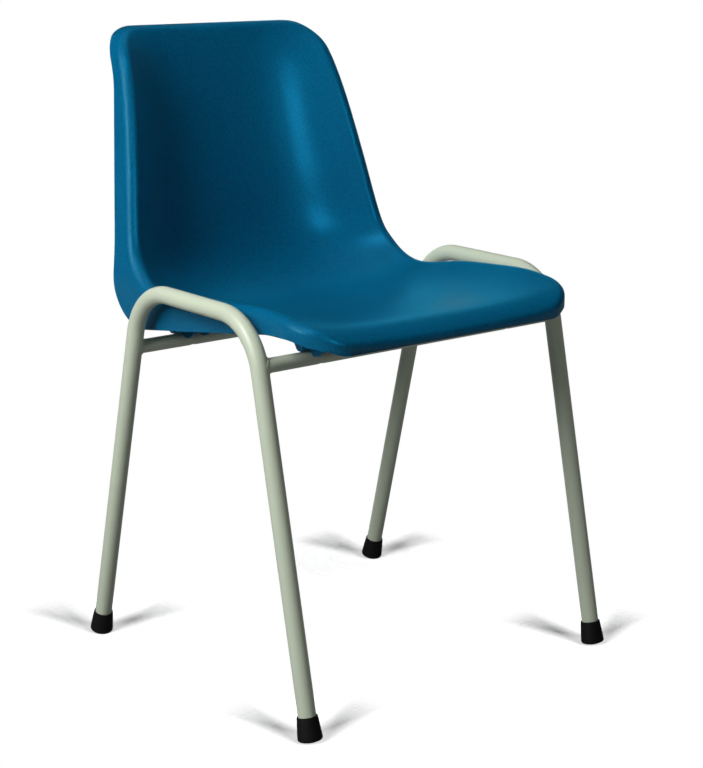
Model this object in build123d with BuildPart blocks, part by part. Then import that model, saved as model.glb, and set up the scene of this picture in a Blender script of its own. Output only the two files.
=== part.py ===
from build123d import *
import os
from math import cos, radians, sin, sqrt, tan

# Stacking chair: a one-piece moulded bucket seat on two bent side frames and two cross tubes.
# Millimetres. +Z up, floor at Z = 0, the sitter faces -Y, and X = 0 is the plane of symmetry.

# Side frames
tube_diameter = 22.0
tube_wall = 1.5
side_clearance = 8.75            # between each side frame and the seat
front_foot_y = -257.0            # leg axis where it meets the floor
rear_foot_y = 205.0
front_leg_lean = 11.87           # degrees from upright, leaning back
rear_leg_lean = 13.92            # degrees from upright, leaning forward
front_bend_rise = 53.3           # corners of the frame above the cross tubes, before they are bent round
rear_bend_rise = 80.0
frame_bend_radius = 75.0

# Cross tubes
cross_diameter = 18.0
cross_wall = 1.2
front_cross_drop = 35.0          # axis below the seat's centre line
rear_cross_drop = 26.6
weld_leg = 1.6                   # size of the weld bead around each cross tube's end
contact_gap = 0.1                # between pieces that sit on each other

# Rubber ferrules on the leg ends
ferrule_height = 32.0
ferrule_top_diameter = 25.4
ferrule_base_diameter = 30.4
ferrule_base_thickness = 6.0
ferrule_sole_radius = 32.0       # domed sole
ferrule_edge_radius = 3.0
ferrule_worn_depth = 0.8         # flat where the sole meets the floor

# Seat shell: outline
shell_top = 808.0
shell_wall = 5.0
seat_half_width = 222.0
taper_rise = 55.7                # above the seat's corner, where the backrest starts to narrow
back_taper = 9.37                # degrees, each side
taper_blend_radius = 200.0
top_corner_radius = 52.0
front_edge_y = -239.0
front_corner_radius = 58.0
rim_radius = 12.0                # rolled crest around the whole rim

# Seat shell: centre line of the sitting surface, seen from the side
back_lean = 11.3                 # degrees from upright
seat_fall = 6.7                  # degrees, down towards the back
seat_corner_y = 181.5            # where the lines of seat and back would cross
seat_corner_z = 432.3
seat_bend_radius = 110.0
front_roll_radius = 36.0
front_roll_length = 35.0         # behind the front edge, where the seat starts to roll over
front_roll_turn = 62.0           # degrees

# Seat shell: height of the rim above the centre line
waist_depth = 56.5               # at the foot of the backrest
back_depth_loss = 8.5            # steady loss up the backrest
top_depth_loss = 36.5            # further loss near the top
top_loss_power = 5
bend_depths = (58.0, 55.0, 48.5) # round the bend, from back to seat
seat_depths = (40.0, 36.5, 33.5, 28.0, 14.0)
roll_depths = (11.0, 9.0, 8.0)   # over the front roll
back_shares = (1.12, 1.0, 0.91, 0.78, 0.6, 0.4, 0.2, 0.0)
seat_shares = (0, 0.32, 0.6, 0.81, 1)
dish_power = 3
dish_gain = 1.04                 # lets the dish run into the rolled crest

# Seat shell: free edge of the flange, seen from the side
top_flange_depth = 14.5          # behind the centre line at the top
shoulder_drop = 42.0             # below the top, where the side flange starts
shoulder_inset = 15.0            # in front of the centre line
waist_rise = 102.7               # above the seat's corner
waist_inset = 18.0               # in front of the centre line
heel_inset = 11.0                # of the skirt's rear corner, in front of the seat's
skirt_drop = 8.2                 # below the seat's centre line, at the heel
skirt_front_length = 83.0        # behind the front edge
skirt_corner_length = 45.0
lip_corner_length = 6.0          # where the lip's edge starts to climb round the corner
lip_corner_drop = 17.6           # below the front of the seat's centre line
lip_drop = 24.8
flange_top_radius = 25.0
shoulder_radius = 130.0
waist_radius = 300.0
heel_radius = 66.0
skirt_radius = 150.0
skirt_corner_radius = 60.0
lip_corner_edge_radius = 15.0

# Lugs moulded under the seat, astride the cross tubes
lug_x = 154.0                    # centre of each lug and its screw
lug_rib_spacing = 26.0
lug_rib_thickness = 4.0
lug_boss_diameter = 15.0
lug_foot_width = 58.0
lug_foot_rise = 4.0              # above the cross tube's axis
lug_foot_radius = 20.0
lug_flare = 6.0                  # degrees, each side
hook_x = 181.0                   # short outer rib beside each lug
hook_thickness = 5.0
hook_width = 13.0
hook_end_radius = 6.0
hook_clearance = 1.5             # above the cross tube
saddle_gap = 0.3

# Screws that hold the lugs, with their heads inside the cross tubes
screw_diameter = 4.8
screw_length = 26.0              # above the head
screw_head_diameter = 9.0
screw_head_height = 3.0
screw_head_edge = 0.8
screw_socket_size = 3.2          # across the corners of the hexagon
screw_socket_depth = 1.8
screw_hole_gap = 0.3
driver_hole_gap = 0.8            # round the head, in the tube's lower wall

# How the seat's dished surface is laid out
plug_room = 100.0                # behind and below the shell
trim_overlap = 1.0               # of the flange's cut, beyond the wall
section_shares = (0.27, 0.52, 0.75, 0.92, 1.08)

tube_radius = tube_diameter / 2
cross_radius = cross_diameter / 2
frame_half_width = seat_half_width + side_clearance + tube_radius
front_roll_y = front_edge_y + front_roll_length
skirt_front_y = front_edge_y + skirt_front_length
taper_height = seat_corner_z + taper_rise
waist_height = seat_corner_z + waist_rise
screw_seat_rise = sqrt((cross_radius - cross_wall) ** 2 - (screw_head_diameter / 2) ** 2) - contact_gap
plug_floor = seat_corner_z - plug_room
feet = {
    "front": (front_foot_y, front_leg_lean),
    "rear": (rear_foot_y, -rear_leg_lean),
}
sides = {"right": -1, "left": 1}     # the sitter's right is -X


def leg_point(foot_y, lean, height):
    """Point on a leg's axis at a height, as seen from the side."""
    return foot_y + height * tan(radians(lean)), height


def cross_point(foot_y, lean, drop):
    """Point on a leg's axis that lies a drop below the seat's centre line."""
    fall = tan(radians(seat_fall))
    height = seat_corner_z + (seat_corner_y - foot_y) * fall - drop
    return leg_point(foot_y, lean, height / (1 + tan(radians(lean)) * fall))


cross_tubes = {
    "front": cross_point(*feet["front"], front_cross_drop),
    "rear": cross_point(*feet["rear"], rear_cross_drop),
}


def sole_offset(lean):
    """Height of the middle of a leaning ferrule's sole."""
    return ferrule_sole_radius * (1 - cos(radians(lean))) - ferrule_worn_depth


def frame_path(x):
    """Centre line of a side frame, from the front leg's end to the rear leg's."""
    ends = []
    for foot_y, lean in feet.values():
        height = sole_offset(lean) + (ferrule_base_thickness + contact_gap) * cos(radians(lean))
        ends.append(leg_point(foot_y, lean, height))
    points = [
        ends[0],
        leg_point(*feet["front"], cross_tubes["front"][1] + front_bend_rise),
        leg_point(*feet["rear"], cross_tubes["rear"][1] + rear_bend_rise),
        ends[1],
    ]
    with BuildLine(Plane.YZ.offset(x)) as path:
        FilletPolyline(*points, radius=frame_bend_radius)
    return path.line


def frame_rod(x, radius, bore=0):
    """A round bar or tube bent along a side frame."""
    path = frame_path(x)
    with BuildPart() as rod:
        with BuildSketch(Plane(path @ 0, z_dir=path % 0)):
            Circle(radius)
            if bore:
                Circle(bore, mode=Mode.SUBTRACT)
        sweep(path=path)
    return rod.part


def half_width(z):
    """Half the shell's width at a height on the backrest."""
    return seat_half_width - tan(radians(back_taper)) * max(z - taper_height, 0)


def back_y(z):
    """Centre line of the backrest."""
    return seat_corner_y + (z - seat_corner_z) * tan(radians(back_lean))


def seat_z(y):
    """Centre line of the seat."""
    return seat_corner_z + (seat_corner_y - y) * tan(radians(seat_fall))


def plug_back():
    """How far back the seat's plug reaches."""
    return back_y(shell_top) + plug_room


def spine_stations():
    """Points down the shell's centre line, with the way to the sitter and the rim's height."""
    stations = []
    bend_turn = 90 - back_lean + seat_fall
    bend_run = seat_bend_radius * tan(radians(bend_turn / 2))
    back_normal = (-cos(radians(back_lean)), sin(radians(back_lean)))
    seat_normal = (sin(radians(seat_fall)), cos(radians(seat_fall)))

    bend_top = seat_corner_z + bend_run * cos(radians(back_lean))
    back_rise = shell_top - rim_radius / 2 - bend_top
    for share in back_shares:
        z = bend_top + share * back_rise
        depth = waist_depth - back_depth_loss * share - top_depth_loss * share**top_loss_power
        stations.append(((back_y(z), z), back_normal, max(depth, 0)))

    bend_end_y = seat_corner_y - bend_run * cos(radians(seat_fall))
    centre_y = bend_end_y + seat_bend_radius * seat_normal[0]
    centre_z = seat_z(bend_end_y) + seat_bend_radius * seat_normal[1]
    for step, depth in enumerate(bend_depths, 1):
        angle = radians(back_lean + bend_turn * step / (len(bend_depths) + 1))
        normal = (-cos(angle), sin(angle))
        point = (centre_y - seat_bend_radius * normal[0], centre_z - seat_bend_radius * normal[1])
        stations.append((point, normal, depth))

    seat_run = bend_end_y - front_roll_y
    for share, depth in zip(seat_shares, seat_depths):
        y = bend_end_y - share * seat_run
        stations.append(((y, seat_z(y)), seat_normal, depth))

    roll_y = front_roll_y - front_roll_radius * seat_normal[0]
    roll_z = seat_z(front_roll_y) - front_roll_radius * seat_normal[1]
    for step, depth in enumerate(roll_depths, 1):
        angle = radians(front_roll_turn * step / len(roll_depths) - seat_fall)
        normal = (-sin(angle), cos(angle))
        point = (roll_y + front_roll_radius * normal[0], roll_z + front_roll_radius * normal[1])
        stations.append((point, normal, depth))
    point, normal, depth = stations[-1]
    run_out = (point[0] - front_roll_radius * normal[1], point[1] + front_roll_radius * normal[0])
    stations.append((run_out, normal, depth))
    return stations


def sitting_line(x, inset):
    """Side view of the sitting surface at a distance from the middle, sunk by an inset."""
    points = []
    for (y, z), (out_y, out_z), depth in spine_stations():
        reach = half_width(z) - rim_radius
        share = abs(x) / reach
        rise = dish_gain * depth * share**dish_power
        slope = dish_gain * depth * dish_power * share ** (dish_power - 1) / reach
        shift = rise - inset * sqrt(1 + slope**2)
        points.append((y + out_y * shift, z + out_z * shift))
    return points


def outline_block(inset):
    """Block with the shell's outline from the front and rounded front corners."""
    width = seat_half_width - inset
    top_width = half_width(shell_top) - inset
    top = shell_top - inset
    corner = top_corner_radius - inset
    front = front_edge_y + inset
    with BuildPart() as block:
        with BuildSketch(Plane.XZ.offset(-front)):
            with BuildLine():
                FilletPolyline(
                    (-width, plug_floor + inset),
                    (-width, taper_height),
                    (-top_width, top),
                    (top_width, top),
                    (width, taper_height),
                    (width, plug_floor + inset),
                    radius=(taper_blend_radius, corner, corner, taper_blend_radius),
                )
                Line((width, plug_floor + inset), (-width, plug_floor + inset))
            make_face()
        extrude(amount=front - plug_back() + inset)
        uprights = block.edges().filter_by(Axis.Z).group_by(Axis.Y)[0]
        fillet(uprights, front_corner_radius - inset)
    return block.part


def seat_plug(inset):
    """Solid under the sitting surface, with the rolled crest around its rim."""
    shares = [-share for share in reversed(section_shares)] + [0] + list(section_shares)
    with BuildPart() as dish:
        for share in shares:
            x = share * seat_half_width
            line = sitting_line(x, inset)
            with BuildSketch(Plane.YZ.offset(x)):
                with BuildLine():
                    Spline(line)
                    Polyline(
                        line[-1],
                        (line[-1][0], plug_floor),
                        (plug_back(), plug_floor),
                        (plug_back(), line[0][1]),
                        line[0],
                    )
                make_face()
        loft()
    with BuildPart() as plug:
        add(outline_block(inset))
        add(dish.part, mode=Mode.INTERSECT)
        sitting_face = plug.faces().filter_by(GeomType.BSPLINE).sort_by(SortBy.AREA)[-1]
        fillet(sitting_face.edges(), rim_radius - inset)
    return plug.part


def flange_trim():
    """What lies behind and below the flange's free edge, all round the rim."""
    shoulder_z = shell_top - shoulder_drop
    heel_y = seat_corner_y - heel_inset
    front_z = seat_z(front_roll_y)
    edge = [
        (back_y(shell_top) + top_flange_depth, shell_top + rim_radius),
        (back_y(shell_top) + top_flange_depth, shell_top - rim_radius / 2),
        (back_y(shoulder_z) - shoulder_inset, shoulder_z),
        (back_y(waist_height) - waist_inset, waist_height),
        (heel_y, seat_z(heel_y) - skirt_drop),
        (skirt_front_y, seat_z(skirt_front_y)),
        (front_edge_y + skirt_corner_length, seat_z(skirt_front_y)),
        (front_edge_y + lip_corner_length, front_z - lip_corner_drop),
        (front_edge_y, front_z - lip_drop),
        (front_edge_y - rim_radius, front_z - lip_drop),
    ]
    radii = (
        flange_top_radius,
        shoulder_radius,
        waist_radius,
        heel_radius,
        skirt_radius,
        skirt_corner_radius,
        lip_corner_edge_radius,
        0,
    )
    with BuildPart() as trim:
        with BuildSketch(Plane.YZ):
            with BuildLine():
                FilletPolyline(*edge, radius=radii)
                Polyline(
                    edge[-1],
                    (edge[-1][0], plug_floor - rim_radius),
                    (plug_back() + rim_radius, plug_floor - rim_radius),
                    (plug_back() + rim_radius, edge[0][1]),
                    edge[0],
                )
            make_face()
        extrude(amount=seat_half_width + rim_radius, both=True)
        add(outline_block(shell_wall + trim_overlap), mode=Mode.SUBTRACT)
    return trim.part


def lug_ribs():
    """Ribs and bosses that stand down from the seat onto the cross tubes."""
    with BuildPart() as ribs:
        for tube_y, tube_z in cross_tubes.values():
            top = seat_corner_z + seat_bend_radius
            foot = tube_z + lug_foot_rise
            spread = lug_foot_width / 2 + (top - foot) * tan(radians(lug_flare))
            for side in sides.values():
                for step in (-0.5, 0.5):
                    x = side * lug_x + step * lug_rib_spacing
                    with BuildSketch(Plane.YZ.offset(x)) as rib:
                        with BuildLine():
                            Polyline(
                                (tube_y - lug_foot_width / 2, foot),
                                (tube_y + lug_foot_width / 2, foot),
                                (tube_y + spread, top),
                                (tube_y - spread, top),
                                close=True,
                            )
                        make_face()
                        fillet(rib.vertices().group_by(Axis.Y)[0], lug_foot_radius)
                    extrude(amount=lug_rib_thickness / 2, both=True)
                hook_foot = tube_z + cross_radius + hook_clearance
                with BuildSketch(Plane.YZ.offset(side * hook_x)) as hook:
                    with Locations((tube_y, (hook_foot + top) / 2)):
                        Rectangle(hook_width, top - hook_foot)
                    fillet(hook.vertices().group_by(Axis.Y)[0], hook_end_radius)
                extrude(amount=hook_thickness / 2, both=True)
                with BuildSketch(Plane.XY.offset(tube_z)):
                    with Locations((side * lug_x, tube_y)):
                        Circle(lug_boss_diameter / 2)
                extrude(amount=top - tube_z)
            saddle_radius = cross_radius + saddle_gap
            with BuildSketch(Plane.YZ):
                with Locations((tube_y, tube_z)):
                    Circle(saddle_radius)
                with Locations((tube_y, tube_z - saddle_radius / 2)):
                    Rectangle(2 * saddle_radius, saddle_radius)
            extrude(amount=seat_half_width, both=True, mode=Mode.SUBTRACT)
            screw_top = tube_z + screw_seat_rise + screw_length
            with BuildSketch(Plane.XY.offset(tube_z)):
                with Locations((-lug_x, tube_y), (lug_x, tube_y)):
                    Circle(screw_diameter / 2 + contact_gap)
            extrude(amount=screw_top + contact_gap - tube_z, mode=Mode.SUBTRACT)
    return ribs.part


def cross_rod(tube_y, tube_z, radius, bore=0):
    """A round bar or tube from one side frame's axis to the other's."""
    with BuildPart() as rod:
        with BuildSketch(Plane.YZ):
            with Locations((tube_y, tube_z)):
                Circle(radius)
                if bore:
                    Circle(bore, mode=Mode.SUBTRACT)
        extrude(amount=frame_half_width, both=True)
    return rod.part


def ferrule_profile():
    """Half section of a ferrule, out from its axis and up from its domed sole."""
    base = ferrule_base_diameter / 2
    bore = tube_radius + contact_gap
    sole_rise = ferrule_sole_radius - sqrt(ferrule_sole_radius**2 - base**2)
    with BuildSketch() as profile:
        with BuildLine():
            RadiusArc((0, 0), (base, sole_rise), -ferrule_sole_radius)
            Polyline(
                (base, sole_rise),
                (ferrule_top_diameter / 2, ferrule_height),
                (bore, ferrule_height),
                (bore, ferrule_base_thickness),
                (0, ferrule_base_thickness),
                (0, 0),
            )
        make_face()
        fillet(profile.vertices().sort_by(Axis.X)[-1], ferrule_edge_radius)
    return profile.sketch


def screw_profile():
    """Half section of a screw, out from its axis and up from the seat of its head."""
    head = screw_head_diameter / 2
    shank = screw_diameter / 2
    with BuildSketch() as profile:
        with BuildLine():
            Polyline(
                (0, -screw_head_height),
                (head, -screw_head_height),
                (head, 0),
                (shank, 0),
                (shank, screw_length - screw_diameter),
                (0, screw_length),
                close=True,
            )
        make_face()
        head_edge = profile.vertices().group_by(Axis.X)[-1].sort_by(Axis.Y)[0]
        chamfer(head_edge, screw_head_edge)
    return profile.sketch


os.makedirs("parts", exist_ok=True)

# Moulded seat shell with its lugs
with BuildPart() as core:
    add(seat_plug(shell_wall))
    add(lug_ribs(), mode=Mode.SUBTRACT)

with BuildPart() as seat_shell:
    add(seat_plug(0))
    add(flange_trim(), mode=Mode.SUBTRACT)
    add(core.part, mode=Mode.SUBTRACT)
seat_shell.part.label = "seat_shell"
export_step(seat_shell.part, "parts/seat_shell.step")

# Side frames, each bent from one length of tube
for name, side in sides.items():
    with BuildPart() as side_frame:
        add(frame_rod(side * frame_half_width, tube_radius, tube_radius - tube_wall))
    side_frame.part.label = f"{name}_side_frame"
    export_step(side_frame.part, f"parts/{name}_side_frame.step")

# Cross tubes, coped to the legs and drilled for the screws and the driver
with BuildPart() as frame_clearance:
    for side in sides.values():
        add(frame_rod(side * frame_half_width, tube_radius + contact_gap))

for name, (tube_y, tube_z) in cross_tubes.items():
    with BuildPart() as cross_tube:
        add(cross_rod(tube_y, tube_z, cross_radius, cross_radius - cross_wall))
        add(frame_clearance.part, mode=Mode.SUBTRACT)
        with BuildSketch(Plane.XY.offset(tube_z)):
            with Locations((-lug_x, tube_y), (lug_x, tube_y)):
                Circle(screw_diameter / 2 + screw_hole_gap)
        extrude(amount=cross_diameter, mode=Mode.SUBTRACT)
        with BuildSketch(Plane.XY.offset(tube_z)):
            with Locations((-lug_x, tube_y), (lug_x, tube_y)):
                Circle(screw_head_diameter / 2 + driver_hole_gap)
        extrude(amount=-cross_diameter, mode=Mode.SUBTRACT)
    cross_tube.part.label = f"{name}_cross_tube"
    export_step(cross_tube.part, f"parts/{name}_cross_tube.step")

# Weld beads where the cross tubes meet the legs
with BuildPart() as weld_reach:
    for side in sides.values():
        add(frame_rod(side * frame_half_width, tube_radius + weld_leg))

with BuildPart() as weld_beads:
    for tube_y, tube_z in cross_tubes.values():
        add(cross_rod(tube_y, tube_z, cross_radius + weld_leg))
    add(weld_reach.part, mode=Mode.INTERSECT)
    add(frame_clearance.part, mode=Mode.SUBTRACT)
    for tube_y, tube_z in cross_tubes.values():
        add(cross_rod(tube_y, tube_z, cross_radius + contact_gap), mode=Mode.SUBTRACT)
weld_beads.part.label = "weld_beads"
export_step(weld_beads.part, "parts/weld_beads.step")

# Rubber ferrules, square to the legs and worn flat on the floor
for end, (foot_y, lean) in feet.items():
    sole_y, sole_z = leg_point(foot_y, lean, sole_offset(lean))
    leg_way = Vector(0, sin(radians(lean)), cos(radians(lean)))
    for name, side in sides.items():
        sole = Vector(side * frame_half_width, sole_y, sole_z)
        with BuildPart() as ferrule:
            with BuildSketch(Plane(sole, x_dir=(1, 0, 0), z_dir=Vector(1, 0, 0).cross(leg_way))):
                add(ferrule_profile())
            revolve(axis=Axis(sole, leg_way))
            split(bisect_by=Plane.XY, keep=Keep.TOP)
        ferrule.part.label = f"{end}_{name}_ferrule"
        export_step(ferrule.part, f"parts/{end}_{name}_ferrule.step")

# Screws from inside the cross tubes up into the lugs
with BuildPart() as seat_screws:
    for tube_y, tube_z in cross_tubes.values():
        for side in sides.values():
            seat = Vector(side * lug_x, tube_y, tube_z + screw_seat_rise)
            with BuildSketch(Plane(seat, x_dir=(1, 0, 0), z_dir=(0, -1, 0))):
                add(screw_profile())
            revolve(axis=Axis(seat, (0, 0, 1)))
            with BuildSketch(Plane(seat - Vector(0, 0, screw_head_height))):
                RegularPolygon(screw_socket_size / 2, 6)
            extrude(amount=screw_socket_depth, mode=Mode.SUBTRACT)
seat_screws.part.label = "seat_screws"
export_step(seat_screws.part, "parts/seat_screws.step")
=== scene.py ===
from math import cos, pi, radians, sin, sqrt, tan

import bpy
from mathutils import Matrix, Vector


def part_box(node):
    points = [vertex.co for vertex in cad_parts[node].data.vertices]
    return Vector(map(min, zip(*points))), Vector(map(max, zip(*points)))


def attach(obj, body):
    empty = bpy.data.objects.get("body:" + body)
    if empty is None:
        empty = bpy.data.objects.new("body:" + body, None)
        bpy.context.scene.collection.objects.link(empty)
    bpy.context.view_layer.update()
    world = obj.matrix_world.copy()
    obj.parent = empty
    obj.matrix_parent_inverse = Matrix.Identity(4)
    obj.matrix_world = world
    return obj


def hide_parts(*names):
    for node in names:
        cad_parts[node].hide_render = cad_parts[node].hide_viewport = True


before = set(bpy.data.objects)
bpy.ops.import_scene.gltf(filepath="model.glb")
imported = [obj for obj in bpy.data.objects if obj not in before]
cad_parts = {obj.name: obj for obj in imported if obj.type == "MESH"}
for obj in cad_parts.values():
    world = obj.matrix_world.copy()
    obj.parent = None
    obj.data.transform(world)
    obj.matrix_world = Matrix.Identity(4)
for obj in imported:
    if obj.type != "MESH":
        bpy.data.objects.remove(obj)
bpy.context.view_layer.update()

bl_info = {
    "name": "Bucket Seat Stacking Chair",
    "version": (1, 0, 0),
    "blender": (4, 5, 0),
    "location": "View3D > Sidebar > Chair",
    "description": "Dresses a stacking chair: moulded bucket seat, bent tube frame, welds and ferrules",
    "category": "Object",
}

MM = 0.001
ENDS = ("front", "rear")
SIDES = {"right": -1, "left": 1}

# Fineness of the meshes
TUBE_SIDES = 48
BEND_STEPS = 28
BEAD_SIDES = 14
BEAD_STEPS = 96
BOOT_SIDES = 64
LIP_STEPS = 3
BOOT_STEPS = 6

# Distances within which points are joined
SKIN_REACH = 0.002 * MM
TUBE_REACH = 0.01 * MM
BEAD_REACH = 0.001 * MM

# Angles beyond which an edge looks sharp
SHELL_CREASE = radians(35)
CROSS_CREASE = radians(30)
FRAME_CREASE = radians(40)
WELD_CREASE = radians(60)
BOOT_CREASE = radians(40)

# Weld beads, the first two as shares of the bead's own radius
BEAD_SPREAD = 0.35  # from the cross tube's surface out to the bead's middle
BEAD_STAND = 0.25  # from the leg's surface to the bead's middle
RIPPLES = ((0.10, 17, 0), (0.06, 5, 1))  # height, count round the tube and start

# Shape of a ferrule
BOOT_LIP = 0.7 * MM  # rounding of the mouth's edges
BOOT_EDGE = 3 * MM  # rounding between side and sole
BOOT_SKIRT = 6 * MM  # height at which the side is at its widest
BOOT_FLARE = 0.9  # power by which the side widens; 1 is a straight cone

# Light from all round, and the point at which the lamps are aimed
AMBIENT = 0.05
AIM = Vector((0, 0, 0.5))

# Lamps: name, azimuth and elevation in degrees, distance and size in metres, power in watts
# Light and gloss on the whole chair
LAMPS = (
    ("key", -84, 28, 2.4, (0.9, 1.3), 40),
    ("high_key", -92, 45, 2.4, (0.9, 0.9), 19),
    ("rear_top", 131, 64, 2.4, (0.6, 0.6), 5.2),
    ("overhead", 20, 85, 2.2, (0.8, 0.8), 2.6),
)
# Light alone, on the whole chair
FILLS = (
    ("high", 7, 48, 2.6, (0.4, 0.4), 3.6),
    ("back", 172, 14, 2.6, (1.2, 1.2), 26),
    ("side", 100, 16, 2.6, (1.2, 1.2), 12),
)
# Gloss alone, on the seat's plastic
GLINTS = (
    ("wing_glint", 2, 19, 2.6, (0.06, 0.16), 15),
    ("seat_glint", -46, 60, 2.4, (0.3, 0.3), 10),
    ("front_glint", 131, 15, 2.6, (1.3, 1.3), 3.7),
)
# Light on the floor alone
FLOOR_LAMPS = (
    ("right_floor", -76, 25, 20, (8.5, 8.5), 12900),
    ("left_floor", 4, 25, 20, (8.5, 8.5), 12900),
)

# The floor
WHITE = (1, 1, 1)
FLOOR_SIZE = 60
FLOOR_DROP = 0.3 * MM  # below the soles
FLOOR_PALE = 0.8  # how light it is to the camera, where it shows a shadow
FLOOR_DIM = 0.06  # how light it is to the chair
FLOOR_OFFSET = -0.9  # light taken away again, so that shadows look deeper

# How much of a foot's shadow shows, by the distance from the foot in metres
SHADE_AT_FOOT = 0.4
SHADE_FULL = (0.02, 0.08)  # where it starts to rise, and where it is full
SHADE_GONE = (0.155, 0.105)  # where it is gone, and where it starts to fade

# The photo's viewpoint
CAMERA_LENS = 85.84
CAMERA_SENSOR = 36
CAMERA_PLACE = (-1.4775, -1.8275, 0.9292)
CAMERA_TURN = (radians(76.121), 0, radians(-39.579))


def middle(node):
    """Centre of a CAD node's box."""
    low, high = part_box(node)
    return (low + high) / 2


# Sizes and colours that a user would change


class ChairSizes(bpy.types.PropertyGroup):
    """Sizes of the chair's pieces, in the frame of the CAD model."""

    frame_half_width: bpy.props.FloatProperty(
        name="Frame Half Width",
        description="From the middle of the chair to a side frame's axis",
        default=middle("left_side_frame").x,
        unit="LENGTH",
    )
    tube_radius: bpy.props.FloatProperty(
        name="Tube Radius", description="Of the legs", default=11 * MM, unit="LENGTH"
    )
    tube_wall: bpy.props.FloatProperty(
        name="Tube Wall", description="Of the legs", default=1.5 * MM, unit="LENGTH"
    )
    bend_radius: bpy.props.FloatProperty(
        name="Bend Radius",
        description="Of the side frames, at the tube's axis",
        default=75 * MM,
        unit="LENGTH",
    )
    front_foot: bpy.props.FloatProperty(
        name="Front Foot",
        description="Where the front legs' axes meet the floor",
        default=-257 * MM,
        unit="LENGTH",
    )
    rear_foot: bpy.props.FloatProperty(
        name="Rear Foot",
        description="Where the rear legs' axes meet the floor",
        default=205 * MM,
        unit="LENGTH",
    )
    front_lean: bpy.props.FloatProperty(
        name="Front Lean",
        description="Of the front legs, back from upright",
        default=radians(11.87),
        unit="ROTATION",
    )
    rear_lean: bpy.props.FloatProperty(
        name="Rear Lean",
        description="Of the rear legs, forward from upright",
        default=radians(13.92),
        unit="ROTATION",
    )
    front_corner: bpy.props.FloatProperty(
        name="Front Corner",
        description="Height at which the lines of front leg and seat bar would cross",
        default=491.3 * MM,
        unit="LENGTH",
    )
    rear_corner: bpy.props.FloatProperty(
        name="Rear Corner",
        description="Height at which the lines of rear leg and seat bar would cross",
        default=495 * MM,
        unit="LENGTH",
    )
    cross_radius: bpy.props.FloatProperty(
        name="Cross Tube Radius", description="Of both cross tubes", default=9 * MM, unit="LENGTH"
    )
    weld_radius: bpy.props.FloatProperty(
        name="Weld Radius", description="Of the bead's section", default=1.25 * MM, unit="LENGTH"
    )
    ferrule_height: bpy.props.FloatProperty(
        name="Ferrule Height", description="From sole to top", default=32 * MM, unit="LENGTH"
    )
    ferrule_top: bpy.props.FloatProperty(
        name="Ferrule Top Radius", description="Outside, at the top", default=12.7 * MM, unit="LENGTH"
    )
    ferrule_base: bpy.props.FloatProperty(
        name="Ferrule Base Radius", description="Outside, at the sole", default=15.2 * MM, unit="LENGTH"
    )
    sole_radius: bpy.props.FloatProperty(
        name="Sole Radius", description="Of the domed sole", default=32 * MM, unit="LENGTH"
    )
    sole_thickness: bpy.props.FloatProperty(
        name="Sole Thickness", description="Of the rubber under the leg", default=6 * MM, unit="LENGTH"
    )
    sole_wear: bpy.props.FloatProperty(
        name="Sole Wear",
        description="Worn off where the sole meets the floor",
        default=0.8 * MM,
        unit="LENGTH",
    )
    fit_gap: bpy.props.FloatProperty(
        name="Fit Gap", description="Between a leg and its ferrule", default=0.1 * MM, unit="LENGTH"
    )


class ChairColours(bpy.types.PropertyGroup):
    """Colours of the chair's finishes."""

    shell: bpy.props.FloatVectorProperty(
        name="Shell",
        description="Moulded plastic of the seat",
        default=(0.0005, 0.135, 0.288),
        subtype="COLOR",
        min=0,
        max=1,
    )
    gloss: bpy.props.FloatVectorProperty(
        name="Gloss",
        description="Light that gives the seat's plastic its gloss",
        default=(0.06, 0.66, 1.0),
        subtype="COLOR",
        min=0,
        max=1,
    )
    paint: bpy.props.FloatVectorProperty(
        name="Paint",
        description="Stoving paint of the frame",
        default=(0.575, 0.645, 0.505),
        subtype="COLOR",
        min=0,
        max=1,
    )
    rubber: bpy.props.FloatVectorProperty(
        name="Rubber",
        description="Ferrules",
        default=(0.0035, 0.0035, 0.0033),
        subtype="COLOR",
        min=0,
        max=1,
    )
    dust: bpy.props.FloatVectorProperty(
        name="Dust",
        description="On the ferrules, near the floor",
        default=(0.05, 0.048, 0.045),
        subtype="COLOR",
        min=0,
        max=1,
    )
    steel: bpy.props.FloatVectorProperty(
        name="Steel",
        description="Plated screws",
        default=(0.55, 0.55, 0.54),
        subtype="COLOR",
        min=0,
        max=1,
    )


# Shader maths as Python expressions


class Wire:
    """An output socket of a shader node. Arithmetic on it adds Math nodes."""

    def __init__(self, finish, socket):
        self.finish = finish
        self.socket = socket

    def math(self, operation, *values):
        """A Math node on these values."""
        return self.finish.node("ShaderNodeMath", {"operation": operation}, dict(enumerate(values)))

    def __add__(self, other):
        return self.math("ADD", self, other)

    def __radd__(self, other):
        return self.math("ADD", other, self)

    def __sub__(self, other):
        return self.math("SUBTRACT", self, other)

    def __rsub__(self, other):
        return self.math("SUBTRACT", other, self)

    def __mul__(self, other):
        return self.math("MULTIPLY", self, other)

    def __rmul__(self, other):
        return self.math("MULTIPLY", other, self)

    def step(self, start, end):
        """Smooth rise from 0 at start to 1 at end."""
        return self.finish.node(
            "ShaderNodeMapRange",
            {"interpolation_type": "SMOOTHSTEP"},
            {"Value": self, "From Min": start, "From Max": end},
        )


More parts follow.
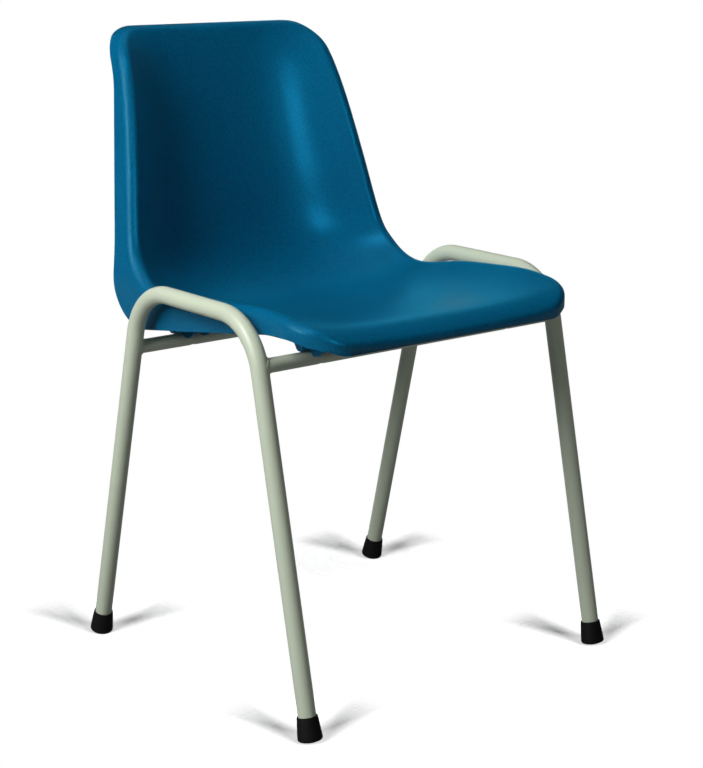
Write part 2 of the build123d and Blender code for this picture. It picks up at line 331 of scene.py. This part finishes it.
class Finish:
    """A shader tree while it is put together, for a material or the world."""

    def __init__(self, owner):
        owner.use_nodes = True
        self.owner = owner
        self.tree = owner.node_tree
        self.tree.nodes.clear()

    def node(self, kind, settings, sockets, output=0):
        """Adds a node, applies its settings, fills its sockets and gives one of its outputs."""
        made = self.tree.nodes.new(kind)
        for name, value in settings.items():
            setattr(made, name, value)
        for name, value in sockets.items():
            if isinstance(value, Wire):
                self.tree.links.new(value.socket, made.inputs[name])
            else:
                made.inputs[name].default_value = value
        return Wire(self, made.outputs[output]) if made.outputs else None

    def place(self):
        """Object coordinates, in metres."""
        return self.node("ShaderNodeTexCoord", {}, {}, "Object")

    def ray(self, kind):
        """1 for rays of one kind, such as Camera, and 0 for all others."""
        return self.node("ShaderNodeLightPath", {}, {}, f"Is {kind} Ray")

    def noise(self, place, scale, detail, roughness=0.5):
        """Cloudy values round a half, with about as many features to a metre as the scale says."""
        sockets = {"Vector": place, "Scale": scale, "Detail": detail, "Roughness": roughness}
        return self.node("ShaderNodeTexNoise", {}, sockets)

    def mix(self, share, first, second):
        """Mixes two colours."""
        return self.node("ShaderNodeMix", {"data_type": "RGBA"}, {0: share, 6: first, 7: second}, 2)

    def choose(self, share, first, second):
        """Mixes two shaders."""
        return self.node("ShaderNodeMixShader", {}, {0: share, 1: first, 2: second})

    def bump(self, height, distance, strength):
        """A normal that is tilted by a height."""
        sockets = {"Height": height, "Distance": distance, "Strength": strength}
        return self.node("ShaderNodeBump", {}, sockets)

    def surface(self, **sockets):
        """Ends the tree in a Principled shader."""
        inputs = {name.replace("_", " "): value for name, value in sockets.items()}
        shader = self.node("ShaderNodeBsdfPrincipled", {}, inputs)
        self.node("ShaderNodeOutputMaterial", {}, {"Surface": shader})


def opaque(colour, gain=1.0):
    """A colour with its alpha, made lighter or darker by a gain."""
    return (*(min(part * gain, 1) for part in colour), 1)


def new_finish(name):
    """A material's shader tree, to be put together."""
    return Finish(bpy.data.materials.new(name))


def shell_plastic(colours):
    """Satin moulded plastic with a fine leathery grain."""
    finish = new_finish("moulded_blue")
    place = finish.place()
    grain = finish.noise(place, scale=430, detail=2, roughness=0.6)
    drift = finish.noise(place, scale=9, detail=2)
    pits = grain.step(start=0.62, end=0.38)
    tone = finish.mix(drift, opaque(colours.shell, gain=0.95), opaque(colours.shell, gain=1.05))
    finish.surface(
        Base_Color=finish.mix(pits * 0.6, tone, opaque(colours.shell, gain=0.6)),
        Roughness=0.24 + 0.10 * grain + 0.04 * drift,
        Normal=finish.bump(grain, distance=0.4 * MM, strength=0.35),
        Specular_Tint=(0.3, 0.8, 1.0, 1),
    )
    return finish.owner


def frame_paint(colours):
    """Satin stoving paint with a slight orange peel."""
    finish = new_finish("stove_paint")
    place = finish.place()
    peel = finish.noise(place, scale=450, detail=1)
    drift = finish.noise(place, scale=12, detail=3)
    finish.surface(
        Base_Color=finish.mix(drift, opaque(colours.paint, gain=0.95), opaque(colours.paint, gain=1.05)),
        Roughness=0.31 + 0.10 * drift,
        Normal=finish.bump(peel, distance=0.1 * MM, strength=0.12),
        IOR=1.48,
    )
    return finish.owner


def ferrule_rubber(colours):
    """Matt black rubber, a little dusty at the sole."""
    finish = new_finish("black_rubber")
    place = finish.place()
    speckle = finish.noise(place, scale=700, detail=3)
    height = finish.node("ShaderNodeSeparateXYZ", {}, {"Vector": place}, "Z")
    dusty = height.step(start=7 * MM, end=0) * speckle
    finish.surface(
        Base_Color=finish.mix(dusty * 0.5, opaque(colours.rubber), opaque(colours.dust)),
        Roughness=0.62 + 0.15 * speckle,
        Normal=finish.bump(speckle, distance=0.15 * MM, strength=0.2),
        Specular_IOR_Level=0.25,
    )
    return finish.owner


def screw_steel(colours):
    """Zinc plated steel."""
    finish = new_finish("plated_steel")
    drift = finish.noise(finish.place(), scale=300, detail=3)
    finish.surface(
        Base_Color=finish.mix(drift, opaque(colours.steel, gain=0.9), opaque(colours.steel, gain=1.05)),
        Roughness=0.28 + 0.2 * drift,
        Metallic=1.0,
    )
    return finish.owner


# Finishes made so far, by the function that makes them
MADE = {}


def finish_of(maker):
    """A finish, made once and shared by the pieces that have it."""
    if maker not in MADE:
        MADE[maker] = maker(bpy.context.scene.chair_colours)
    return MADE[maker]


# Small modelling steps


def only(piece):
    """Selects one object and makes it active."""
    bpy.ops.object.select_all(action="DESELECT")
    piece.select_set(True)
    bpy.context.view_layer.objects.active = piece


def named(piece, name):
    """Names an object and its mesh."""
    piece.name = name
    piece.data.name = name
    return piece


def settle(piece):
    """Puts a piece's place, turn and size into its mesh."""
    only(piece)
    bpy.ops.object.transform_apply(location=True, rotation=True, scale=True)


def smooth(piece, angle):
    """Shades a piece smoothly, apart from its sharp edges."""
    only(piece)
    bpy.ops.object.shade_smooth_by_angle(angle=angle)


def wall(piece, thickness):
    """Gives a surface a wall on its inside."""
    only(piece)
    modifier = piece.modifiers.new("wall", "SOLIDIFY")
    modifier.thickness = thickness
    modifier.offset = -1
    modifier.use_even_offset = True
    bpy.ops.object.modifier_apply(modifier=modifier.name)


def face_outwards():
    """Turns all faces of the mesh being edited outwards."""
    bpy.ops.mesh.select_all(action="SELECT")
    bpy.ops.mesh.normals_make_consistent(inside=False)


def close_up(reach):
    """Joins the points that lie together in the mesh being edited, and turns its faces outwards."""
    bpy.ops.mesh.select_all(action="SELECT")
    bpy.ops.mesh.remove_doubles(threshold=reach)
    face_outwards()


def copy_of(piece, name):
    """A copy with a mesh of its own."""
    only(piece)
    bpy.ops.object.duplicate(linked=False)
    return named(bpy.context.active_object, name)


def merged_copy(node, name, angle):
    """A CAD node's mesh as one joined, smoothly shaded skin."""
    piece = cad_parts[node].copy()
    piece.data = piece.data.copy()
    named(piece, name)
    piece.parent = None
    for key in list(piece.keys()):
        del piece[key]
    bpy.context.collection.objects.link(piece)
    only(piece)
    bpy.ops.object.mode_set(mode="EDIT")
    bpy.ops.mesh.select_all(action="SELECT")
    bpy.ops.mesh.remove_doubles(threshold=SKIN_REACH)
    bpy.ops.object.mode_set(mode="OBJECT")
    smooth(piece, angle)
    modifier = piece.modifiers.new("normals", "WEIGHTED_NORMAL")
    modifier.keep_sharp = True
    bpy.ops.object.modifier_apply(modifier=modifier.name)
    return piece


def hand_in(piece, material, node):
    """Gives a finished piece its material and its place on the chair, instead of a CAD node."""
    piece.data.materials.clear()
    piece.data.materials.append(material)
    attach(piece, "root")
    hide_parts(node)


def leg_point(foot, lean, height):
    """Point on a leg's axis, as seen from the side."""
    return Vector((0, foot + height * tan(lean), height))


def sole_middle(sizes, lean):
    """Height of the middle of a leaning leg's domed sole, let down by its wear."""
    return sizes.sole_radius * (1 - cos(lean)) - sizes.sole_wear


def leg_end(sizes, lean):
    """Height of a leg's end above the floor, standing in its ferrule."""
    return sole_middle(sizes, lean) + (sizes.sole_thickness + sizes.fit_gap) * cos(lean)


def quarter_turn(steps):
    """Angles from nothing to a right angle."""
    return [pi / 2 * step / steps for step in range(steps + 1)]


# The pieces


class CHAIR_OT_shell(bpy.types.Operator):
    """Makes the moulded seat shell"""

    bl_idname = "chair.shell"
    bl_label = "Seat Shell"

    def execute(self, context):
        shell = merged_copy("seat_shell", "shell", SHELL_CREASE)
        hand_in(shell, finish_of(shell_plastic), "seat_shell")
        return {"FINISHED"}


class CHAIR_OT_side_frames(bpy.types.Operator):
    """Bends the tube of one side frame and copies it for the other side"""

    bl_idname = "chair.side_frames"
    bl_label = "Side Frames"

    def execute(self, context):
        sizes = context.scene.chair_sizes
        aside = Vector((-sizes.frame_half_width, 0, 0))
        start = aside + leg_point(sizes.front_foot, sizes.front_lean, leg_end(sizes, sizes.front_lean))
        front = aside + leg_point(sizes.front_foot, sizes.front_lean, sizes.front_corner)
        rear = aside + leg_point(sizes.rear_foot, -sizes.rear_lean, sizes.rear_corner)
        end = aside + leg_point(sizes.rear_foot, -sizes.rear_lean, leg_end(sizes, sizes.rear_lean))

        bpy.ops.object.select_all(action="DESELECT")
        bpy.ops.mesh.primitive_circle_add(
            vertices=TUBE_SIDES,
            radius=sizes.tube_radius,
            location=start,
            rotation=(-sizes.front_lean, 0, 0),
        )
        tube = named(context.active_object, "right_frame")
        settle(tube)
        bpy.ops.object.mode_set(mode="EDIT")
        bpy.ops.mesh.select_all(action="SELECT")
        here = start
        for corner, after in ((front, rear), (rear, end)):
            here = self.run_and_bend(sizes.bend_radius, here, corner, after)
        self.run(here, end)
        close_up(TUBE_REACH)
        bpy.ops.object.mode_set(mode="OBJECT")
        wall(tube, sizes.tube_wall)
        smooth(tube, FRAME_CREASE)

        twin = copy_of(tube, "left_frame")
        twin.location.x = 2 * sizes.frame_half_width
        settle(twin)
        hand_in(tube, finish_of(frame_paint), "right_side_frame")
        hand_in(twin, finish_of(frame_paint), "left_side_frame")
        return {"FINISHED"}

    def run(self, here, there):
        """Carries the tube's open end straight on."""
        bpy.ops.mesh.extrude_region_move(TRANSFORM_OT_translate={"value": there - here})

    def run_and_bend(self, radius, here, corner, after):
        """Carries the open end up to a corner, round it, and gives where the bend ends."""
        before = (corner - here).normalized()
        onward = (after - corner).normalized()
        turn = before.angle(onward)
        tangent = radius * tan(turn / 2)
        inwards = (onward - before).normalized()
        centre = corner + inwards * (radius / cos(turn / 2))
        self.run(here, corner - before * tangent)
        bpy.ops.mesh.spin(
            steps=BEND_STEPS, angle=turn, center=centre, axis=onward.cross(before).normalized()
        )
        return corner + onward * tangent


class CHAIR_OT_cross_tubes(bpy.types.Operator):
    """Makes the two cross tubes, coped to the legs and drilled for the screws"""

    bl_idname = "chair.cross_tubes"
    bl_label = "Cross Tubes"

    def execute(self, context):
        for end in ENDS:
            tube = merged_copy(f"{end}_cross_tube", f"{end}_tube", CROSS_CREASE)
            hand_in(tube, finish_of(frame_paint), f"{end}_cross_tube")
        return {"FINISHED"}


class CHAIR_OT_welds(bpy.types.Operator):
    """Lays a rippled weld bead round each end of the cross tubes"""

    bl_idname = "chair.welds"
    bl_label = "Weld Beads"

    def execute(self, context):
        sizes = context.scene.chair_sizes
        beads = []
        for end, lean in zip(ENDS, (sizes.front_lean, -sizes.rear_lean)):
            centre = middle(f"{end}_cross_tube")
            for side in SIDES.values():
                beads.append(self.bead(sizes, centre, side, lean))
        bpy.ops.object.select_all(action="DESELECT")
        for bead in beads:
            bead.select_set(True)
        context.view_layer.objects.active = beads[0]
        bpy.ops.object.join()
        welds = named(context.active_object, "welds")
        smooth(welds, WELD_CREASE)
        hand_in(welds, finish_of(frame_paint), "weld_beads")
        return {"FINISHED"}

    def bead(self, sizes, centre, side, lean):
        """A ring pressed into the corner between a cross tube and the leg it is welded to."""
        bpy.ops.object.select_all(action="DESELECT")
        bpy.ops.mesh.primitive_torus_add(
            major_radius=sizes.cross_radius + BEAD_SPREAD * sizes.weld_radius,
            minor_radius=sizes.weld_radius,
            major_segments=BEAD_STEPS,
            minor_segments=BEAD_SIDES,
            rotation=(0, pi / 2, 0),
        )
        bead = bpy.context.active_object
        settle(bead)
        stand = sizes.frame_half_width - BEAD_STAND * sizes.weld_radius
        for point in bead.data.vertices:
            off_leg = point.co.y * cos(lean) - point.co.z * sin(lean)
            reach = sqrt(max(sizes.tube_radius**2 - off_leg**2, 0))
            turn = Vector((point.co.y, point.co.z)).angle_signed(Vector((1, 0)), 0)
            swell = 1 + sum(height * sin(count * turn + start) for height, count, start in RIPPLES)
            point.co.x = side * (stand - reach - point.co.x * swell)
            point.co.y += centre.y
            point.co.z += centre.z
        only(bead)
        bpy.ops.object.mode_set(mode="EDIT")
        close_up(BEAD_REACH)
        bpy.ops.object.mode_set(mode="OBJECT")
        return bead


class CHAIR_OT_ferrules(bpy.types.Operator):
    """Moulds one rubber ferrule and puts a copy on each leg"""

    bl_idname = "chair.ferrules"
    bl_label = "Ferrules"

    def execute(self, context):
        sizes = context.scene.chair_sizes
        pattern = self.mould(self.profile(sizes))
        legs = ((sizes.front_foot, sizes.front_lean), (sizes.rear_foot, -sizes.rear_lean))
        for end, (foot, lean) in zip(ENDS, legs):
            for name, side in SIDES.items():
                ferrule = copy_of(pattern, f"{end}_{name}_boot")
                sole = leg_point(foot, lean, sole_middle(sizes, lean))
                ferrule.location = sole + Vector((side * sizes.frame_half_width, 0, 0))
                ferrule.rotation_euler.x = -lean
                settle(ferrule)
                self.wear(ferrule)
                hand_in(ferrule, finish_of(ferrule_rubber), f"{end}_{name}_ferrule")
        bpy.data.objects.remove(pattern)
        return {"FINISHED"}

    def profile(self, sizes):
        """Radius and height of each ring of an upright ferrule, from its bore round to its sole."""
        bore = sizes.tube_radius + sizes.fit_gap
        top = sizes.ferrule_top
        mouth = sizes.ferrule_height - BOOT_LIP
        rings = [(bore, sizes.sole_thickness), (bore, mouth)]
        for turn in quarter_turn(LIP_STEPS)[1:]:
            rings.append((bore + BOOT_LIP * (1 - cos(turn)), mouth + BOOT_LIP * sin(turn)))
        for turn in quarter_turn(LIP_STEPS):
            rings.append((top - BOOT_LIP + BOOT_LIP * sin(turn), mouth + BOOT_LIP * cos(turn)))
        for step in range(1, BOOT_STEPS + 1):
            share = step / BOOT_STEPS
            radius = top + (sizes.ferrule_base - top) * share**BOOT_FLARE
            rings.append((radius, sizes.ferrule_height + (BOOT_SKIRT - sizes.ferrule_height) * share))
        rim = sizes.ferrule_base - BOOT_EDGE
        rise = self.dome(sizes, rim) + BOOT_EDGE
        for turn in quarter_turn(BOOT_STEPS)[1:]:
            rings.append((rim + BOOT_EDGE * cos(turn), rise - BOOT_EDGE * sin(turn)))
        for step in range(1, BOOT_STEPS):
            radius = rim * (1 - step / BOOT_STEPS)
            rings.append((radius, self.dome(sizes, radius)))
        return rings

    def dome(self, sizes, radius):
        """How far the sole has risen at a radius from its middle."""
        return sizes.sole_radius - sqrt(sizes.sole_radius**2 - radius**2)

    def mould(self, rings):
        """A ferrule standing upright with its sole's middle at the origin, drawn ring by ring."""
        bpy.ops.object.select_all(action="DESELECT")
        radius, height = rings[0]
        bpy.ops.mesh.primitive_circle_add(
            vertices=BOOT_SIDES, radius=radius, fill_type="NGON", location=(0, 0, height)
        )
        pattern = bpy.context.active_object
        pattern.name = "ferrule_pattern"
        settle(pattern)
        bpy.ops.object.mode_set(mode="EDIT")
        bpy.ops.mesh.select_all(action="SELECT")
        bpy.ops.mesh.extrude_edges_move()
        for next_radius, next_height in rings[1:]:
            bpy.ops.transform.translate(value=(0, 0, next_height - height))
            ratio = next_radius / radius
            bpy.ops.transform.resize(value=(ratio, ratio, 1), center_override=(0, 0, next_height))
            radius, height = next_radius, next_height
            bpy.ops.mesh.extrude_edges_move()
        bpy.ops.mesh.merge(type="CENTER")
        face_outwards()
        bpy.ops.object.mode_set(mode="OBJECT")
        return pattern

    def wear(self, ferrule):
        """Wears the sole flat on the floor."""
        only(ferrule)
        bpy.ops.object.mode_set(mode="EDIT")
        bpy.ops.mesh.select_all(action="SELECT")
        bpy.ops.mesh.bisect(plane_co=(0, 0, 0), plane_no=(0, 0, 1), clear_inner=True, use_fill=True)
        face_outwards()
        bpy.ops.object.mode_set(mode="OBJECT")
        smooth(ferrule, BOOT_CREASE)


class CHAIR_OT_screws(bpy.types.Operator):
    """Gives the seat screws their plated finish"""

    bl_idname = "chair.screws"
    bl_label = "Seat Screws"

    def execute(self, context):
        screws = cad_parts["seat_screws"]
        screws.data.materials.clear()
        screws.data.materials.append(finish_of(screw_steel))
        return {"FINISHED"}


class CHAIR_OT_stage(bpy.types.Operator):
    """Sets the floor, the light and the camera"""

    bl_idname = "chair.stage"
    bl_label = "Stage"

    def execute(self, context):
        floor = self.floor(context)
        self.surroundings(context)
        self.light_chair(context, floor, bpy.data.objects["shell"])
        self.light_floor(floor)
        self.camera(context)
        context.scene.view_settings.view_transform = "Standard"
        return {"FINISHED"}

    def light_chair(self, context, floor, shell):
        """Soft light on all of the chair, with the gloss on frame and plastic from lamps of its own."""
        off_floor = self.group("all_but_floor", "EXCLUDE", floor)
        on_shell = self.group("shell_alone", "INCLUDE", shell)
        off_shell = self.group("all_but_floor_and_shell", "EXCLUDE", floor, shell)
        for name, *place in (*LAMPS, *FILLS):
            self.lamp(name, *place, off_floor).visible_glossy = False
        for name, *place in LAMPS:
            self.lamp(f"{name}_on_paint", *place, off_shell).visible_diffuse = False
        for name, *place in (*LAMPS, *GLINTS):
            lamp = self.lamp(f"{name}_on_plastic", *place, on_shell)
            lamp.visible_diffuse = False
            lamp.data.color = context.scene.chair_colours.gloss

    def light_floor(self, floor):
        """Wide lamps on the floor, which only the legs and their ferrules shade."""
        legs = [f"{side}_frame" for side in SIDES]
        legs += [f"{end}_{side}_boot" for end in ENDS for side in SIDES]
        on_floor = self.group("floor_alone", "INCLUDE", floor)
        shading = self.group("legs_alone", "INCLUDE", *(bpy.data.objects[leg] for leg in legs))
        for name, *place in FLOOR_LAMPS:
            lamp = self.lamp(name, *place, on_floor)
            lamp.light_linking.blocker_collection = shading

    def floor(self, context):
        """A floor that is white to the camera, shaded round the feet, and clear from below."""
        bpy.ops.object.select_all(action="DESELECT")
        bpy.ops.mesh.primitive_plane_add(size=FLOOR_SIZE, location=(0, 0, -FLOOR_DROP))
        floor = context.active_object
        floor.name = "floor"
        settle(floor)
        finish = new_finish("pale_floor")
        white = self.glow(finish, 1.0)
        pale = finish.node("ShaderNodeBsdfDiffuse", {}, {"Color": opaque(WHITE, FLOOR_PALE)})
        dim = finish.node("ShaderNodeBsdfDiffuse", {}, {"Color": opaque(WHITE, FLOOR_DIM)})
        shaded = finish.node("ShaderNodeAddShader", {}, {0: pale, 1: self.glow(finish, FLOOR_OFFSET)})
        place = finish.place()
        clear = 1
        sizes = context.scene.chair_sizes
        for foot in (sizes.front_foot, sizes.rear_foot):
            for side in SIDES.values():
                foot_place = (side * sizes.frame_half_width, foot, 0)
                clear = clear * (1 - self.shade(finish, place, foot_place))
        seen = finish.choose(clear, shaded, white)
        above = finish.choose(finish.ray("Camera"), dim, seen)
        glass = finish.node("ShaderNodeBsdfTransparent", {}, {})
        below = finish.node("ShaderNodeNewGeometry", {}, {}, "Backfacing")
        finish.node("ShaderNodeOutputMaterial", {}, {"Surface": finish.choose(below, above, glass)})
        floor.data.materials.append(finish.owner)
        return floor

    def glow(self, finish, strength):
        """White light from a surface, or light taken away where the strength is negative."""
        return finish.node("ShaderNodeEmission", {}, {"Color": opaque(WHITE), "Strength": strength})

    def shade(self, finish, place, foot_place):
        """How much of a foot's shadow the floor shows, from 0 to 1."""
        away = finish.node(
            "ShaderNodeVectorMath", {"operation": "DISTANCE"}, {0: place, 1: foot_place}, "Value"
        )
        rising = SHADE_AT_FOOT + (1 - SHADE_AT_FOOT) * away.step(*SHADE_FULL)
        return rising * away.step(*SHADE_GONE)

    def surroundings(self, context):
        """A dark studio that looks white to the camera."""
        world = bpy.data.worlds.new("studio")
        context.scene.world = world
        finish = Finish(world)
        strength = finish.ray("Camera") + finish.ray("Diffuse") * AMBIENT
        sky = finish.node("ShaderNodeBackground", {}, {"Color": opaque(WHITE), "Strength": strength})
        finish.node("ShaderNodeOutputWorld", {}, {"Surface": sky})

    def group(self, name, state, *pieces):
        """Objects that lamps act on: these alone, or all but these."""
        made = bpy.data.collections.new(name)
        for piece in pieces:
            made.objects.link(piece)
        for member in made.collection_objects:
            member.light_linking.link_state = state
        return made

    def lamp(self, name, azimuth, elevation, distance, size, power, lit):
        """A soft lamp aimed at the seat; azimuth runs from the front to the sitter's left."""
        turn, rise = radians(azimuth), radians(elevation)
        way = Vector((sin(turn) * cos(rise), -cos(turn) * cos(rise), sin(rise)))
        light = bpy.data.lights.new(name, "AREA")
        light.shape = "RECTANGLE"
        light.size, light.size_y = size
        light.energy = power
        lamp = bpy.data.objects.new(name, light)
        lamp.location = AIM + way * distance
        lamp.rotation_euler = (-way).to_track_quat("-Z", "Y").to_euler()
        lamp.visible_camera = False
        lamp.light_linking.receiver_collection = lit
        bpy.context.collection.objects.link(lamp)
        return lamp

    def camera(self, context):
        """The photo's viewpoint."""
        lens = bpy.data.cameras.new("photo_camera")
        lens.lens = CAMERA_LENS
        lens.sensor_width = CAMERA_SENSOR
        camera = bpy.data.objects.new("photo_camera", lens)
        camera.location = CAMERA_PLACE
        camera.rotation_euler = CAMERA_TURN
        context.collection.objects.link(camera)
        context.scene.camera = camera


class CHAIR_PT_panel(bpy.types.Panel):
    """Lists the chair's pieces in the sidebar"""

    bl_idname = "CHAIR_PT_panel"
    bl_label = "Stacking Chair"
    bl_space_type = "VIEW_3D"
    bl_region_type = "UI"
    bl_category = "Chair"

    def draw(self, context):
        layout = self.layout
        for operator in PIECES:
            layout.operator(operator.bl_idname)
        for group in (context.scene.chair_sizes, context.scene.chair_colours):
            box = layout.box()
            for name in group.__annotations__:
                box.prop(group, name)


PIECES = (
    CHAIR_OT_shell,
    CHAIR_OT_side_frames,
    CHAIR_OT_cross_tubes,
    CHAIR_OT_welds,
    CHAIR_OT_ferrules,
    CHAIR_OT_screws,
    CHAIR_OT_stage,
)
CLASSES = (ChairSizes, ChairColours, *PIECES, CHAIR_PT_panel)


def register():
    for kind in CLASSES:
        bpy.utils.register_class(kind)
    bpy.types.Scene.chair_sizes = bpy.props.PointerProperty(type=ChairSizes)
    bpy.types.Scene.chair_colours = bpy.props.PointerProperty(type=ChairColours)


def unregister():
    del bpy.types.Scene.chair_colours
    del bpy.types.Scene.chair_sizes
    for kind in reversed(CLASSES):
        bpy.utils.unregister_class(kind)


def main():
    register()
    bpy.ops.chair.shell()
    bpy.ops.chair.side_frames()
    bpy.ops.chair.cross_tubes()
    bpy.ops.chair.welds()
    bpy.ops.chair.ferrules()
    bpy.ops.chair.screws()
    bpy.ops.chair.stage()


if __name__ == "__main__":
    main()
